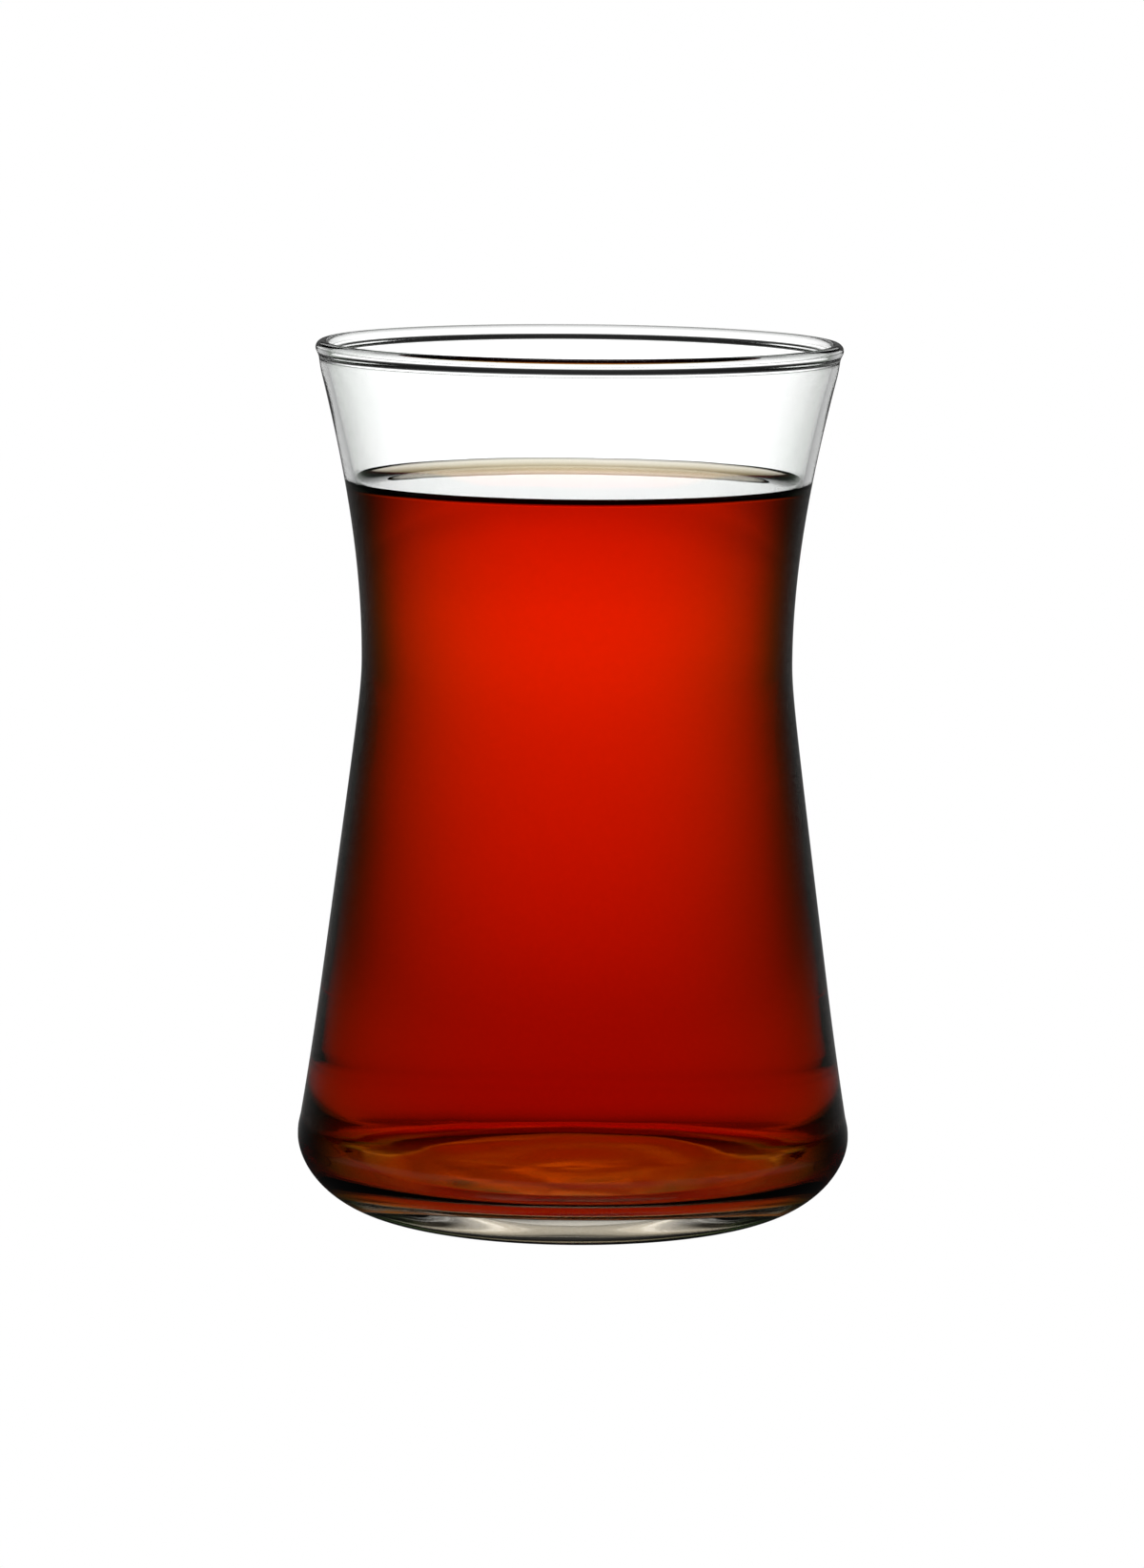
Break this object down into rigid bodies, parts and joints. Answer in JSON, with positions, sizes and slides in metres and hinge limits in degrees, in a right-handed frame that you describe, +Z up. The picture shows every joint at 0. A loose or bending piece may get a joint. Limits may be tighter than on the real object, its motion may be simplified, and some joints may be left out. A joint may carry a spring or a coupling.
{
  "type": "turkish tea glass with tea",
  "caption": "Waisted clear tea glass with a flared lip, a rounded heavy base and black tea to a finger's breadth under the lip.",
  "frame": {"origin": "on the glass's axis, in the plane that its foot stands on", "axes": "+Z up along the glass's axis; X and Y are alike, because the glass is turned"},
  "size_m": [0.0572, 0.0572, 0.0903],
  "materials": {
    "glass": "clear soda-lime glass, fire-polished, smooth and shiny, with a faint grey-green tint in the thick base",
    "tea": "clear black tea, deep red in the middle and brown at the edges, with a still, shiny surface"
  },
  "bodies": {
    "root": {"glass": "glass", "tea": "tea"}
  },
  "joints": []
}
